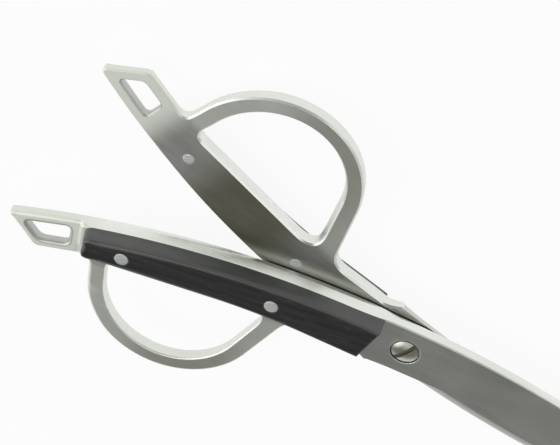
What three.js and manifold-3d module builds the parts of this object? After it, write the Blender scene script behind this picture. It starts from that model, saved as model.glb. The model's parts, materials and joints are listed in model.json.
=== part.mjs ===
// Scissors with D-shaped finger loops, eyelets at the tails and riveted ebony handle scales.
// Millimetres, +Z up. The scissors lie flat, a little open, with the tips towards +X.
import * as THREE from 'three';
import { mergeVertices } from 'three/addons/utils/BufferGeometryUtils.js';
import Module from 'manifold-3d';

const wasm = await Module();
wasm.setup();

// Blade
const BLADE_LENGTH = 98; // pivot to tip
const EDGE_OFFSET = 9.8; // pivot to the line of the cutting edge
const BLADE_CURVE = 1.95; // power of the spine's fall towards the tip
const TIP_HEIGHT = 1.4; // blunt end of the blade
const PIVOT_THICKNESS = 3; // blade thickness at the pivot
const TIP_THICKNESS = 1.7;
const GRIND_WIDTH = 1.4; // ground bevel along the cutting edge
const EDGE_THICKNESS = 0.35; // land left at the cutting edge
const REST_EDGE_ANGLE = 8.5; // cutting edge to the long axis, in degrees, as the scissors lie

// Tang and handle bar
const PLATE = 4.2; // steel thickness of tang and finger loop
const HANDLE_BEND = 9.3; // handle bar to cutting edge, in degrees
const TANG_EDGE = 7; // pivot to the lower edge of the tang, before the loop
const CHOIL_STATION = 9.5; // start of the cutting edge, behind the pivot
const CHOIL_LENGTH = 4;
const TAPER_LENGTH = 9; // the tang thins to the blade over this length behind the pivot
const SPINE_RADIUS = 260;
const SPINE_CREST = 53.7; // station of the bar's widest place, measured from the pivot
const BAR_WIDTH = 15.3;
const EDGE_ROUNDING = 0.7;

// Finger loop
const LOOP_STATION = 67.7; // centre of the loop along the bar
const LOOP_RISE = 7.1; // centre of the loop above the bar's edge
const LOOP_HALF_LENGTH = 21.6; // hole along the bar, from its centre
const LOOP_HEIGHT = 23.5; // hole above its centre
const LOOP_CANT = 0.5; // the loop's crown lies this much nearer the tail
const LOOP_BAND = 5.2; // width of the steel at the legs
const LOOP_TOP_BAND = 4.8; // width of the steel at the crown
const LOOP_SWEEP = 152; // degrees of arc, from the rear leg to where the front leg runs straight
const REAR_LEG_FLARE = 0.5;
const HOLE_CORNER = 4; // length taken off each side of the loop hole's corner towards the tail
const HOLE_FRONT_CORNER = 8.5; // the same at its corner towards the blade
const ROOT_FILLET = 5;

// Tail plate with its eyelet
const TAIL_STATION = 121.2; // tail tip along the bar
const TAIL_CORNER_STATION = 111.6;
const TAIL_CORNER_RISE = 4.5;
const TAIL_ROOT_RISE = 1.3;
const STEP_STATION = 98.6; // the plate is thinner past this station
const TAIL_PLATE = 3.2;
const EYELET_RIM = 3.2;
const EYELET_CORNER = 1.7;
const TAIL_CORNER = 1.6;
const TAIL_TIP_CORNER = 2.6;

// Wooden handle scales
const SCALE_THICKNESS = 4.9;
const SCALE_LEDGE = 0.5; // steel left showing along the spine
const SCALE_GRIP_LEDGE = 3; // steel left showing on the loop side
const SCALE_LIP = 0.5; // upright part of the scale's side
const SCALE_DRAFT = 0.6; // the sides lean in by this much
const SCALE_REAR_MARGIN = 1.3; // tail step to the scale's rear end
const SCALE_FRONT = 11.6; // pivot to the scale's front end
const SCALE_FRONT_SLANT = 12.3; // front end to the blade's square, in degrees
const SCALE_CORNER = 2.6;
const SCALE_BEND = 14;

// Rivets
const RIVET_STATIONS = { tail: 84.6, pivot: 40 };
const RIVET_INSET = 7.5; // from the bar's edge on the loop side
const RIVET_DIAMETER = 3.4;
const RIVET_HEAD_DIAMETER = 4.1;
const RIVET_HEAD_DEPTH = 2;

// Pivot
const SCREW_DIAMETER = 5;
const HEAD_DIAMETER = 8.2;
const HEAD_EDGE = 0.3; // upright rim of the screw head
const HEAD_DOME = 0.9;
const SLOT_WIDTH = 1.1;
const SLOT_DEPTH = 0.9;
const SLOT_ANGLE = 69; // slot to the long axis, in degrees
const SEAT_RIM = 0.35; // free width round the screw head
const SEAT_DEPTH = 1.6;
const SPRING_WASHER_THICKNESS = 0.35;
const SPRING_WASHER_DISH = 0.25;
const BEARING_DIAMETER = 12;
const BEARING_THICKNESS = 0.7;
const NUT_DIAMETER = 9.6;
const NUT_THICKNESS = 1.2;
const NUT_HOLE_DIAMETER = 1;

// Clearances
const BLADE_GAP = 0.4; // between the two inner faces
const FIT = 0.25; // between pieces that seat on each other
const RUNNING_FIT = 0.08; // round the screw, in the blade that turns

// Fineness of the round shapes
const CIRCLE_STEPS = 36;
const LOOP_STEPS = 30;
const SPINE_STEPS = 24;
const CORNER_STEPS = 5;
const ROUNDING_STEPS = 2;

const STEEL = { color: 0x9a9b96, roughness: 0.35, metalness: 1 };
const EBONY = { color: 0x17181a, roughness: 0.45, metalness: 0 };
const PIN_STEEL = { color: 0xb4b6b4, roughness: 0.4, metalness: 1 };
const SCREW_STEEL = { color: 0xb9b5a4, roughness: 0.25, metalness: 1 };
const BRONZE = { color: 0xa9825a, roughness: 0.4, metalness: 1 };

// Solids
function solidOf(geometry) {
  const bare = geometry.clone();
  bare.deleteAttribute('normal');
  bare.deleteAttribute('uv');
  const merged = mergeVertices(bare);
  const index = merged.index.array;
  const triangles = [];
  for (let i = 0; i < index.length; i += 3) {
    const [a, b, c] = [index[i], index[i + 1], index[i + 2]];
    if (a !== b && b !== c && c !== a) triangles.push(a, b, c);
  }
  return new wasm.Manifold(new wasm.Mesh({
    numProp: 3,
    vertProperties: new Float32Array(merged.attributes.position.array),
    triVerts: new Uint32Array(triangles),
  }));
}

function geometryOf(solid) {
  const mesh = solid.getMesh();
  const geometry = new THREE.BufferGeometry();
  geometry.setAttribute('position', new THREE.BufferAttribute(mesh.vertProperties, 3));
  geometry.setIndex(new THREE.BufferAttribute(mesh.triVerts, 1));
  geometry.computeVertexNormals();
  return geometry;
}

function meshOf(name, solid, finish) {
  const mesh = new THREE.Mesh(geometryOf(solid), new THREE.MeshStandardMaterial(finish));
  mesh.name = name;
  return mesh;
}

// A block larger than the object, standing on one side of a plane
function beyond(point, normal) {
  const size = 8 * BLADE_LENGTH;
  const block = new THREE.BoxGeometry(size, size, size);
  block.translate(0, 0, size / 2);
  const turn = new THREE.Quaternion().setFromUnitVectors(
    new THREE.Vector3(0, 0, 1),
    normal.clone().normalize(),
  );
  block.applyQuaternion(turn);
  block.translate(point.x, point.y, point.z);
  return solidOf(block);
}

// A solid of revolution about Z, from a profile of radius and height pairs that runs upwards
function turned(profile) {
  const points = profile.map(([radius, height]) => new THREE.Vector2(radius, height));
  const lathe = new THREE.LatheGeometry(points, CIRCLE_STEPS);
  lathe.rotateX(Math.PI / 2);
  return solidOf(lathe);
}

function cylinder(diameter, low, high, x = 0, y = 0) {
  const rod = new THREE.CylinderGeometry(diameter / 2, diameter / 2, high - low, CIRCLE_STEPS);
  rod.rotateX(Math.PI / 2);
  rod.translate(x, y, (low + high) / 2);
  return solidOf(rod);
}

// Outlines. Each half is drawn with the pivot at 0,0, the cutting edge along X and the spine at +Y.
const bend = THREE.MathUtils.degToRad(HANDLE_BEND);

// A place on the handle: station runs from the pivot to the tail, rise from the bar to the loop
function onHandle(station, rise) {
  return new THREE.Vector2(
    -station * Math.cos(bend) + rise * Math.sin(bend),
    -station * Math.sin(bend) - rise * Math.cos(bend),
  );
}

function spineRise(station) {
  const away = station - SPINE_CREST;
  return SPINE_RADIUS - BAR_WIDTH - Math.sqrt(SPINE_RADIUS ** 2 - away ** 2);
}

function onSpine(station) {
  return onHandle(station, spineRise(station));
}

function steps(from, to, count) {
  return Array.from({ length: count + 1 }, (_, i) => from + ((to - from) * i) / count);
}

// The spine of the blade falls from the handle's spine to the tip
function bladeSpine() {
  const start = onSpine(0);
  const length = BLADE_LENGTH - start.x;
  const fall = start.y + EDGE_OFFSET - TIP_HEIGHT;
  return steps(1, 0, SPINE_STEPS).slice(0, -1).map((share) => new THREE.Vector2(
    start.x + length * share,
    start.y - fall * share ** BLADE_CURVE,
  ));
}

// The outline of the loop's hole, or of the band round it, from the tail over the top to the blade
function loopPath(legBand, topBand) {
  const along = LOOP_HALF_LENGTH + legBand;
  const up = LOOP_HEIGHT + topBand;
  const stationAt = (angle) => LOOP_STATION + along * Math.cos(angle) + LOOP_CANT * Math.sin(angle);
  const riseAt = (angle) => LOOP_RISE + up * Math.sin(angle);
  const end = THREE.MathUtils.degToRad(LOOP_SWEEP);
  const lean = (LOOP_CANT - along * Math.tan(end)) / up;
  return {
    rear: onHandle(LOOP_STATION + along + REAR_LEG_FLARE, 0),
    arc: steps(0, end, LOOP_STEPS).map((angle) => onHandle(stationAt(angle), riseAt(angle))),
    front: onHandle(stationAt(end) - lean * riseAt(end), 0),
  };
}

// Rounds the marked corners of a closed outline. A corner is a point and the length it takes away.
function rounded(corners) {
  const points = [];
  corners.forEach(({ at, cut }, i) => {
    if (!cut) {
      points.push(at);
      return;
    }
    const before = corners[(i + corners.length - 1) % corners.length].at;
    const after = corners[(i + 1) % corners.length].at;
    const start = at.clone().add(before.clone().sub(at).setLength(cut));
    const end = at.clone().add(after.clone().sub(at).setLength(cut));
    points.push(...new THREE.QuadraticBezierCurve(start, at, end).getPoints(CORNER_STEPS));
  });
  return points;
}

const plain = (at) => ({ at, cut: 0 });
const corner = (at, cut) => ({ at, cut });

// Where two straight lines, each given by two points, cross
function crossing(a, b, c, d) {
  const along = b.clone().sub(a);
  const across = d.clone().sub(c);
  const share = c.clone().sub(a).cross(across) / along.cross(across);
  return a.clone().addScaledVector(along, share);
}

// A convex outline drawn in by a distance on every side
function drawnIn(points, distance) {
  const middle = points.reduce((sum, p) => sum.add(p), new THREE.Vector2()).divideScalar(points.length);
  const sides = points.map((a, i) => {
    const b = points[(i + 1) % points.length];
    const inward = new THREE.Vector2(a.y - b.y, b.x - a.x).normalize();
    if (inward.dot(middle.clone().sub(a)) < 0) inward.negate();
    return [a.clone().addScaledVector(inward, distance), b.clone().addScaledVector(inward, distance)];
  });
  return sides.map((side, i) => {
    const last = sides[(i + sides.length - 1) % sides.length];
    return crossing(last[0], last[1], side[0], side[1]);
  });
}

const spineStations = steps(0, TAIL_STATION, SPINE_STEPS).slice(0, -1);
const tailTip = onSpine(TAIL_STATION);
const tailCorner = onHandle(TAIL_CORNER_STATION, TAIL_CORNER_RISE);
const tailRootStation = LOOP_STATION + LOOP_HALF_LENGTH + LOOP_BAND + REAR_LEG_FLARE;
const tailRoot = onHandle(tailRootStation, TAIL_ROOT_RISE);

const split = -CHOIL_STATION - CHOIL_LENGTH; // the handle's rounded edges end here
const tangEdge = new THREE.Vector2(split, -TANG_EDGE);
const underPivot = new THREE.Vector2(0, -TANG_EDGE);

function handleOutline() {
  const loop = loopPath(LOOP_BAND, LOOP_TOP_BAND);
  const frontRoot = crossing(loop.arc.at(-1), loop.front, tangEdge, underPivot);
  return rounded([
    ...spineStations.map((station) => plain(onSpine(station))),
    corner(tailTip, TAIL_TIP_CORNER),
    corner(tailCorner, TAIL_CORNER),
    corner(tailRoot, ROOT_FILLET / 2),
    ...loop.arc.map(plain),
    corner(frontRoot, ROOT_FILLET),
    plain(underPivot),
  ]);
}

// The blade's outline reaches back past the split, where the handle takes over
function bladeOutline() {
  const back = spineStations.filter((station) => station < -2 * split);
  return rounded([
    ...bladeSpine().map(plain),
    ...back.map((station) => plain(onSpine(station))),
    plain(new THREE.Vector2(onSpine(back.at(-1)).x, -TANG_EDGE)),
    corner(tangEdge, CHOIL_LENGTH / 3),
    corner(new THREE.Vector2(-CHOIL_STATION, -EDGE_OFFSET), CHOIL_LENGTH / 10),
    plain(new THREE.Vector2(BLADE_LENGTH, -EDGE_OFFSET)),
  ]);
}

function loopHole() {
  const loop = loopPath(0, 0);
  return rounded([
    corner(loop.rear, HOLE_CORNER),
    ...loop.arc.map(plain),
    corner(loop.front, HOLE_FRONT_CORNER),
  ]);
}

function eyelet() {
  const stepSpine = onSpine(STEP_STATION);
  const stepLoop = crossing(tailRoot, tailCorner, stepSpine, onHandle(STEP_STATION, 0));
  const corners = drawnIn([stepSpine, tailTip, tailCorner, stepLoop], EYELET_RIM);
  return rounded(corners.map((at) => corner(at, EYELET_CORNER)));
}

function scaleOutline() {
  const rear = STEP_STATION - SCALE_REAR_MARGIN;
  const ledge = (station) => onHandle(station, spineRise(station) + SCALE_LEDGE);
  const gripEnd = onHandle(rear, -SCALE_GRIP_LEDGE);
  const tangLine = -TANG_EDGE + SCALE_GRIP_LEDGE;
  const tangFront = new THREE.Vector2(0, tangLine);
  const tangRear = new THREE.Vector2(split, tangLine);
  const bendPoint = crossing(gripEnd, onHandle(0, -SCALE_GRIP_LEDGE), tangFront, tangRear);
  return rounded([
    ...steps(0, rear, SPINE_STEPS).slice(0, -1).map((station) => plain(ledge(station))),
    corner(ledge(rear), SCALE_CORNER),
    corner(gripEnd, SCALE_CORNER),
    corner(bendPoint, SCALE_BEND),
    plain(tangFront),
  ]);
}

// The handle as a plate on the inner face, Z 0, with its edges rounded on both sides
function handlePlate(thickness) {
  const shape = new THREE.Shape(handleOutline());
  shape.holes.push(new THREE.Path(loopHole()), new THREE.Path(eyelet()));
  const extrusion = new THREE.ExtrudeGeometry(shape, {
    depth: thickness - 2 * EDGE_ROUNDING,
    bevelThickness: EDGE_ROUNDING,
    bevelSize: EDGE_ROUNDING,
    bevelOffset: -EDGE_ROUNDING,
    bevelSegments: ROUNDING_STEPS,
  });
  extrusion.translate(0, 0, EDGE_ROUNDING);
  return solidOf(extrusion);
}

function bladePlate() {
  const shape = new THREE.Shape(bladeOutline());
  const plate = solidOf(new THREE.ExtrudeGeometry(shape, { depth: PLATE, bevelEnabled: false }));
  return plate.subtract(beyond(new THREE.Vector3(split, 0, 0), new THREE.Vector3(-1, 0, 0)));
}

// The half seen from its side: full thickness along the handle, thinning from the pivot to the tip
function sideProfile() {
  const behind = -2 * TAIL_STATION;
  const shape = new THREE.Shape([
    new THREE.Vector2(behind, 0),
    new THREE.Vector2(2 * BLADE_LENGTH, 0),
    new THREE.Vector2(2 * BLADE_LENGTH, TIP_THICKNESS),
    new THREE.Vector2(BLADE_LENGTH, TIP_THICKNESS),
    new THREE.Vector2(0, PIVOT_THICKNESS),
    new THREE.Vector2(-TAPER_LENGTH, PLATE),
    new THREE.Vector2(behind, PLATE),
  ]);
  const width = 2 * TAIL_STATION;
  const profile = new THREE.ExtrudeGeometry(shape, { depth: width, bevelEnabled: false });
  profile.rotateX(Math.PI / 2);
  profile.translate(0, width / 2, 0);
  return solidOf(profile);
}

const headSeat = PIVOT_THICKNESS - SEAT_DEPTH;
const nutSeat = PIVOT_THICKNESS - NUT_THICKNESS - FIT;
const bearingProud = BLADE_GAP - FIT;
const bearingSeat = BEARING_THICKNESS - bearingProud + FIT;
const scaleTop = PLATE + FIT + SCALE_THICKNESS;

function rivetPlace(station) {
  return onHandle(station, -RIVET_INSET);
}

// One steel half, before the cuts that the pivot needs
function steelHalf() {
  const tailward = onHandle(1, 0);
  const step = onHandle(STEP_STATION, 0);
  const stepPoint = new THREE.Vector3(step.x, step.y, 0);
  const stepNormal = new THREE.Vector3(tailward.x, tailward.y, 0);
  const handle = handlePlate(PLATE).subtract(beyond(stepPoint, stepNormal));
  let half = handle
    .add(handlePlate(TAIL_PLATE))
    .add(bladePlate())
    .intersect(sideProfile())
    .subtract(grindCut());
  for (const station of Object.values(RIVET_STATIONS)) {
    const { x, y } = rivetPlace(station);
    half = half.subtract(cylinder(RIVET_DIAMETER + 2 * FIT, -PLATE, 2 * PLATE, x, y));
  }
  return half;
}

// The bevel that is ground along the cutting edge
function grindCut() {
  const rise = PIVOT_THICKNESS - EDGE_THICKNESS;
  return beyond(
    new THREE.Vector3(0, -EDGE_OFFSET, EDGE_THICKNESS),
    new THREE.Vector3(0, -rise, GRIND_WIDTH),
  ).subtract(beyond(new THREE.Vector3(-CHOIL_STATION, 0, 0), new THREE.Vector3(-1, 0, 0)));
}

function frontBlade() {
  return steelHalf()
    .subtract(cylinder(SCREW_DIAMETER + 2 * RUNNING_FIT, -PLATE, 2 * PLATE))
    .subtract(cylinder(HEAD_DIAMETER + 2 * SEAT_RIM, headSeat, 2 * PLATE));
}

function rearBlade() {
  return steelHalf()
    .subtract(cylinder(SCREW_DIAMETER + 2 * FIT, -PLATE, 2 * PLATE))
    .subtract(cylinder(NUT_DIAMETER + 2 * FIT, nutSeat, 2 * PLATE))
    .subtract(cylinder(BEARING_DIAMETER + 2 * FIT, -PLATE, bearingSeat));
}

function handleScale() {
  const extrusion = new THREE.ExtrudeGeometry(new THREE.Shape(scaleOutline()), {
    depth: SCALE_LIP,
    bevelThickness: SCALE_THICKNESS - SCALE_LIP,
    bevelSize: SCALE_DRAFT,
    bevelOffset: -SCALE_DRAFT,
    bevelSegments: 1,
  });
  const slant = THREE.MathUtils.degToRad(SCALE_FRONT_SLANT);
  const frontNormal = new THREE.Vector3(Math.cos(slant), -Math.sin(slant), 0);
  let scale = solidOf(extrusion)
    .subtract(beyond(new THREE.Vector3(), new THREE.Vector3(0, 0, -1)))
    .subtract(beyond(new THREE.Vector3(-SCALE_FRONT, 0, 0), frontNormal));
  for (const station of Object.values(RIVET_STATIONS)) {
    const { x, y } = rivetPlace(station);
    const headLow = SCALE_THICKNESS - RIVET_HEAD_DEPTH;
    scale = scale
      .subtract(cylinder(RIVET_DIAMETER + 2 * FIT, -SCALE_THICKNESS, 2 * SCALE_THICKNESS, x, y))
      .subtract(cylinder(RIVET_HEAD_DIAMETER + 2 * FIT, headLow, 2 * SCALE_THICKNESS, x, y));
  }
  return scale;
}

function rivet() {
  const head = RIVET_HEAD_DIAMETER / 2;
  const shank = RIVET_DIAMETER / 2;
  const under = scaleTop - RIVET_HEAD_DEPTH + FIT;
  return turned([[0, 0], [shank, 0], [shank, under], [head, under], [head, scaleTop], [0, scaleTop]]);
}

// Heights of the pivot's pieces, from the middle plane between the two blades
const headLow = BLADE_GAP / 2 + headSeat + 2 * FIT + SPRING_WASHER_THICKNESS + SPRING_WASHER_DISH;
const screwEnd = -BLADE_GAP / 2 - PIVOT_THICKNESS;

function pivotScrew() {
  const head = HEAD_DIAMETER / 2;
  const shank = SCREW_DIAMETER / 2;
  const domeRadius = (head ** 2 + HEAD_DOME ** 2) / (2 * HEAD_DOME);
  const rim = headLow + HEAD_EDGE;
  const top = rim + HEAD_DOME;
  const dome = steps(Math.asin(head / domeRadius), 0, CORNER_STEPS).map((angle) => [
    domeRadius * Math.sin(angle),
    top - domeRadius * (1 - Math.cos(angle)),
  ]);
  const slot = new THREE.BoxGeometry(2 * HEAD_DIAMETER, SLOT_WIDTH, 2 * SLOT_DEPTH);
  slot.rotateZ(THREE.MathUtils.degToRad(SLOT_ANGLE));
  slot.translate(0, 0, top);
  return turned([[0, screwEnd], [shank, screwEnd], [shank, headLow], [head, headLow], ...dome])
    .subtract(solidOf(slot));
}

function springWasher() {
  const inner = SCREW_DIAMETER / 2 + FIT;
  const outer = HEAD_DIAMETER / 2;
  const low = BLADE_GAP / 2 + headSeat + FIT;
  const high = low + SPRING_WASHER_DISH;
  return turned([
    [outer, low],
    [outer, low + SPRING_WASHER_THICKNESS],
    [inner, high + SPRING_WASHER_THICKNESS],
    [inner, high],
    [outer, low],
  ]);
}

function bearingWasher() {
  const top = BLADE_GAP / 2 - FIT;
  const low = top - BEARING_THICKNESS;
  return cylinder(BEARING_DIAMETER, low, top)
    .subtract(cylinder(SCREW_DIAMETER + 2 * FIT, 2 * low, BEARING_THICKNESS));
}

function pivotNut() {
  const bore = SCREW_DIAMETER + 2 * FIT;
  const holeRing = (NUT_DIAMETER + bore) / 4;
  let nut = cylinder(NUT_DIAMETER, screwEnd, screwEnd + NUT_THICKNESS)
    .subtract(cylinder(bore, 2 * screwEnd, 0));
  for (const side of [-1, 1]) {
    nut = nut.subtract(cylinder(NUT_HOLE_DIAMETER, 2 * screwEnd, 0, side * holeRing));
  }
  return nut;
}

// One half of the scissors, turned to the opening at which the scissors lie
function halfGroup(side, blade) {
  const half = new THREE.Group();
  half.rotation.z = THREE.MathUtils.degToRad(REST_EDGE_ANGLE);
  half.position.z = BLADE_GAP / 2;
  half.add(meshOf(`${side}_blade`, blade, STEEL));
  const scale = meshOf(`${side}_handle_scale`, handleScale(), EBONY);
  scale.position.z = PLATE + FIT;
  half.add(scale);
  for (const [end, station] of Object.entries(RIVET_STATIONS)) {
    const pin = meshOf(`${side}_${end}_rivet`, rivet(), PIN_STEEL);
    const { x, y } = rivetPlace(station);
    pin.position.set(x, y, 0);
    half.add(pin);
  }
  return half;
}

const front = halfGroup('front', frontBlade());
const rear = new THREE.Group();
rear.rotation.x = Math.PI;
rear.add(halfGroup('rear', rearBlade()));

const assembly = new THREE.Group();
assembly.add(
  front,
  rear,
  meshOf('pivot_screw', pivotScrew(), SCREW_STEEL),
  meshOf('spring_washer', springWasher(), PIN_STEEL),
  meshOf('bearing_washer', bearingWasher(), BRONZE),
  meshOf('pivot_nut', pivotNut(), SCREW_STEEL),
);

// The origin is under the middle of the scissors, on the surface that they lie on
assembly.updateMatrixWorld(true);
const box = new THREE.Box3().setFromObject(assembly, true);
const middle = box.getCenter(new THREE.Vector3());
assembly.position.set(-middle.x, -middle.y, -box.min.z);

const scissors = new THREE.Group();
scissors.add(assembly);
export default scissors;
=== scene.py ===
"""Looks of the scissors: satin steel halves with polished edges, ebony scales, flush rivets and
a slotted pivot screw. Painted light: a dark reflection along the satin bar, a lighter tone on the
polished walls and on the tumbled loop and tail that is partly painted reflection, a lighter sheen on
the scales' sides and shade in the screw's slot. Every piece is drawn in millimetres in its half's
own frame: the pivot at 0,0, the cutting edge along X, the spine at +Y and the inner face at Z 0."""
import json
from math import asin, cos, pi, radians, sin, sqrt, tan

import bpy
import numpy as np
from mathutils import Matrix, Vector
from mathutils.geometry import delaunay_2d_cdt


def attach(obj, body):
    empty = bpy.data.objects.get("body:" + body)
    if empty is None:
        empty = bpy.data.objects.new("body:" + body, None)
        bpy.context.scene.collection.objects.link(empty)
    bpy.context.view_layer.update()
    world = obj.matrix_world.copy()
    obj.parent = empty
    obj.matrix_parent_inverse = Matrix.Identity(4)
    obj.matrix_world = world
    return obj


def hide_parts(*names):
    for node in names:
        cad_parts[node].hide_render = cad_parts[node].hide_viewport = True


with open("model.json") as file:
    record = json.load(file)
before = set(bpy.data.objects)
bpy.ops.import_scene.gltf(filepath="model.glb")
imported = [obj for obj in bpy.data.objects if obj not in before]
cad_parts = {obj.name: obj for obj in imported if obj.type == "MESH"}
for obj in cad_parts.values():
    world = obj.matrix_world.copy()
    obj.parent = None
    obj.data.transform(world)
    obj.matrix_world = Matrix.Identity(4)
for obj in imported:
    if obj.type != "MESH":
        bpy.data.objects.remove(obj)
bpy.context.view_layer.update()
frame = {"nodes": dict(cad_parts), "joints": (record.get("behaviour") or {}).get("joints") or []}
MM = 0.001

# Sizes of the steel halves
BLADE_LENGTH, EDGE_OFFSET, BLADE_CURVE, TIP_HEIGHT = 98, 9.8, 1.95, 1.4
PIVOT_THICKNESS, TIP_THICKNESS, PLATE, TAIL_PLATE = 3, 1.7, 4.2, 3.2
GRIND_WIDTH, EDGE_LAND = 1.4, 0.35
REST_EDGE_ANGLE, HANDLE_BEND = radians(8.5), radians(9.3)
TANG_EDGE, CHOIL_STATION, CHOIL_LENGTH, TAPER_LENGTH = 7, 9.5, 4, 20
SPINE_RADIUS, SPINE_CREST, BAR_WIDTH = 260, 53.7, 15.3
LOOP_STATION, LOOP_RISE, LOOP_HALF_LENGTH, LOOP_HEIGHT, LOOP_CANT = 67.7, 7.1, 21.6, 23.5, 0.5
LOOP_BAND, LOOP_TOP_BAND, LOOP_SWEEP = 5.2, 4.77, radians(152)
REAR_LEG_FLARE, HOLE_CORNER, HOLE_FRONT_CORNER, ROOT_FILLET = 0.5, 4, 8.5, 5
TAIL_STATION, TAIL_CORNER_STATION, TAIL_CORNER_RISE, TAIL_ROOT_RISE = 121.14, 111.6, 4.5, 1.3
STEP_STATION, STEP_RAMP, STEP_SHIFT, STEP_FADE = 98.6, 0.9, 2.5, 5
EYELET_RIM, EYELET_CORNER, TAIL_CORNER, TAIL_TIP_CORNER = 3.2, 1.7, 1.6, 2.6
TANG_CORNER, CHOIL_CORNER, BLADE_TIP_CORNER = 1.6, 0.5, 0.3
BLADE_GAP = 0.4

# Rounding of the steel's edges
HANDLE_ROUND, LOOP_ROUND, REAR_LEG_ROUND, SPINE_ROUND = 1.2, 0.5, 0.9, 0.5
EYELET_ROUND, INNER_BEVEL = 1.0, 0.5
INNER_SPINE_BEVEL, INNER_SPINE_SPREAD, BAR_EDGE_ROUND = 0.5, 4.5, 0.15
BAR_LEAN, BLADE_LEAN, LOOP_LEAN, LEAN_FOOT = 1.0, 0.6, 0.15, 0.3
HOLE_LEAN = {"front": 0, "rear": -0.8}

# Runs over which the steel's edges change, from where each starts to where it is full: along X, along
# the handle's stations or across its rises
BLADE_RUN, INNER_SPREAD_RUN = (-16, -10), (2, 12)
BAR_FRONT_RUN, REAR_LEG_RUN, HANDLE_RUN = (6, 12), (86, 91), (95.5, 98.5)
BAR_RISE_RUN, HOLE_RISE_RUN, STEP_RISE_RUN = (-6, -9), (1, 6), (-3, 0)
COVER_SPAN, FLAT_SPAN, HOLE_LEAN_SPAN = 0.6, 30, 12

# Limits that keep the edges clear of tight corners, of the narrow tip and of the cutting edge
STRAIGHT_BEND, ROUND_SHARE, ROUND_SLOPE, ROUND_PASSES, NO_LIMIT = 1e-3, 0.6, 0.25, 40, 99
NARROW_SHARE, SPREAD_SHARE, GRIND_SHARE = 0.2, 0.3, 0.5
EDGE_NEAR, EDGE_END, EDGE_BEVEL, SPINE_CLEAR = 0.02, 0.4, 0.02, 1
WALL_SHARES = (0.1, LEAN_FOOT - 0.03, LEAN_FOOT + 0.03, 0.97)
INNER_MARGIN, FACE_GROWTH, FACE_MARGIN = 0.05, 1.12, 0.02

# Sizes of the wooden scales
SCALE_LEDGE, SCALE_LIP, SCALE_DRAFT, SCALE_REAR_DRAFT, SCALE_TOP = 0.75, 0.4, 0.5, 1.2, 9.35
GRIP_LEDGE = {"front": 2.9, "rear": 3.6}
SCALE_REAR, SCALE_FRONT, SCALE_FRONT_SLANT = 97.3, 11.6, radians(12.3)
SCALE_CORNER, SCALE_BEND = 2.6, 14
SCALE_ROUND_FRONT, SCALE_ROUND_REAR, SCALE_ROUND_RUN, SCALE_DRAFT_SPAN = 0.5, 1.2, (20, 90), 3
SCALE_FOOT, SCALE_FOOT_RISE, LIP_DROP, LIP_INSET, TOP_MARGIN = 0.05, 0.06, 0.1, 0.05, 0.2
SCALE_WALL_SHARES, FRONT_CLEAR, FRONT_EASE, FRONT_EASE_END = (0.35, 0.65), 0.3, 0.25, 0.45

# Zones of the steel's tumbled finish, whose lighter tone is partly painted light, and of a painted dark
# reflection along the bar, from where each begins to where it is full
TAIL_ZONE, LOOP_ZONE, TANG_ZONE, LOOP_SHARE = (91, 102), (0.5, 4.5), (20, 32), 0.4
# Stations of a dark patch along the bar: a painted reflection.
DARK_REFLECTION_FRONT, DARK_REFLECTION_REAR = (38, 54), (86, 70)
# Tones: a brownish darkening for the painted dark reflection, and the tumbled zones' lighter tone, partly
# painted light.
DARK_REFLECTION_TONE, TUMBLED_PAINTED_LIGHT_TONE = (0.5, 0.48, 0.41, 1), (0.82, 0.85, 0.78, 1)
TUMBLED_ROUGHNESS = (0.62,) * 3 + (1,)

# Finishes: darkest and lightest tone, range of roughness and, for steel, the depth of its lines
SATIN = (0.62, 0.63, 0.57), (0.72, 0.73, 0.68), (0.26, 0.36), 0.12
# Walls and rounded edges: a lighter copy of the satin steel, real polish whose lighter tone is partly
# painted reflection.
POLISH_AND_PAINTED_REFLECTION = (0.82, 0.85, 0.79), (0.91, 0.93, 0.88), (0.26, 0.36), 0.06
OILED = (0.002, 0.0023, 0.0023), (0.009, 0.0095, 0.008), (0.22, 0.4)
# The scales' sides take a lighter copy of the ebony: painted sheen.
EBONY_SIDE_SHEEN = (0.03, 0.033, 0.031), (0.075, 0.08, 0.072), (0.3, 0.45)
FLECK_TONE = (0.05, 0.05, 0.045, 1)
BRUSH = {"scale": 900, "stretch": (20, 0.25, 1), "detail": 3, "roughness": 0.7}
CLOUD = {"scale": 70, "stretch": (2, 1, 1), "detail": 5, "roughness": 0.6}
STREAK = {"scale": 260, "stretch": (8, 0.4, 1), "detail": 6, "roughness": 0.65}
FLECK = {"scale": 1500, "stretch": (11, 1, 1), "detail": 3, "roughness": 0.6}
FIBRE = {"scale": 400, "detail": 5}
STEEL_BUMP, WOOD_BUMP, WOOD_GLOSS = (0.12, 0.00003), (0.25, 0.00005), 0.9

# Sizes of the rivets and of the pivot
RIVET_STATIONS, RIVET_INSET = {"tail": 84.6, "pivot": 40}, 7.5
RIVET_RADIUS, RIVET_HEAD_RADIUS, RIVET_HEAD_DEPTH, HAIRLINE = 1.7, 2.05, 2, 0.05
SCREW_RADIUS, HEAD_RADIUS, HEAD_EDGE, HEAD_DOME, SLOT_WIDTH, SLOT_FLOOR = 2.5, 4.1, 0.3, 0.9, 1.1, 0.1
SLOT_ANGLE, SEAT_RADIUS, SEAT_DEPTH, HEAD_LOW = radians(69), 4.45, 1.6, 2.5
NUT_RADIUS, NUT_THICKNESS, NUT_HOLE_RADIUS, NUT_HOLE_RING = 4.8, 1.2, 0.5, 3.75
BEARING_RADIUS, BEARING_SEAT = 6.25, 0.8
SCREW_PLAY, REAR_PLAY, NUT_PLAY, NUT_FLOOR = 0.08, 0.2, 0.12, 0.25
CHAMFER, RIM, SEAT_EDGE = 0.1, 0.3, 0.12
HEAD_STEP, BORE_EDGE, BORE_RIM, STEEL_BORE_RIM = 0.3, 0.05, 0.25, 0.2
SLOT_EDGE, SLOT_MARGIN, NUT_RIM = 0.05, 0.25, 0.15

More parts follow.
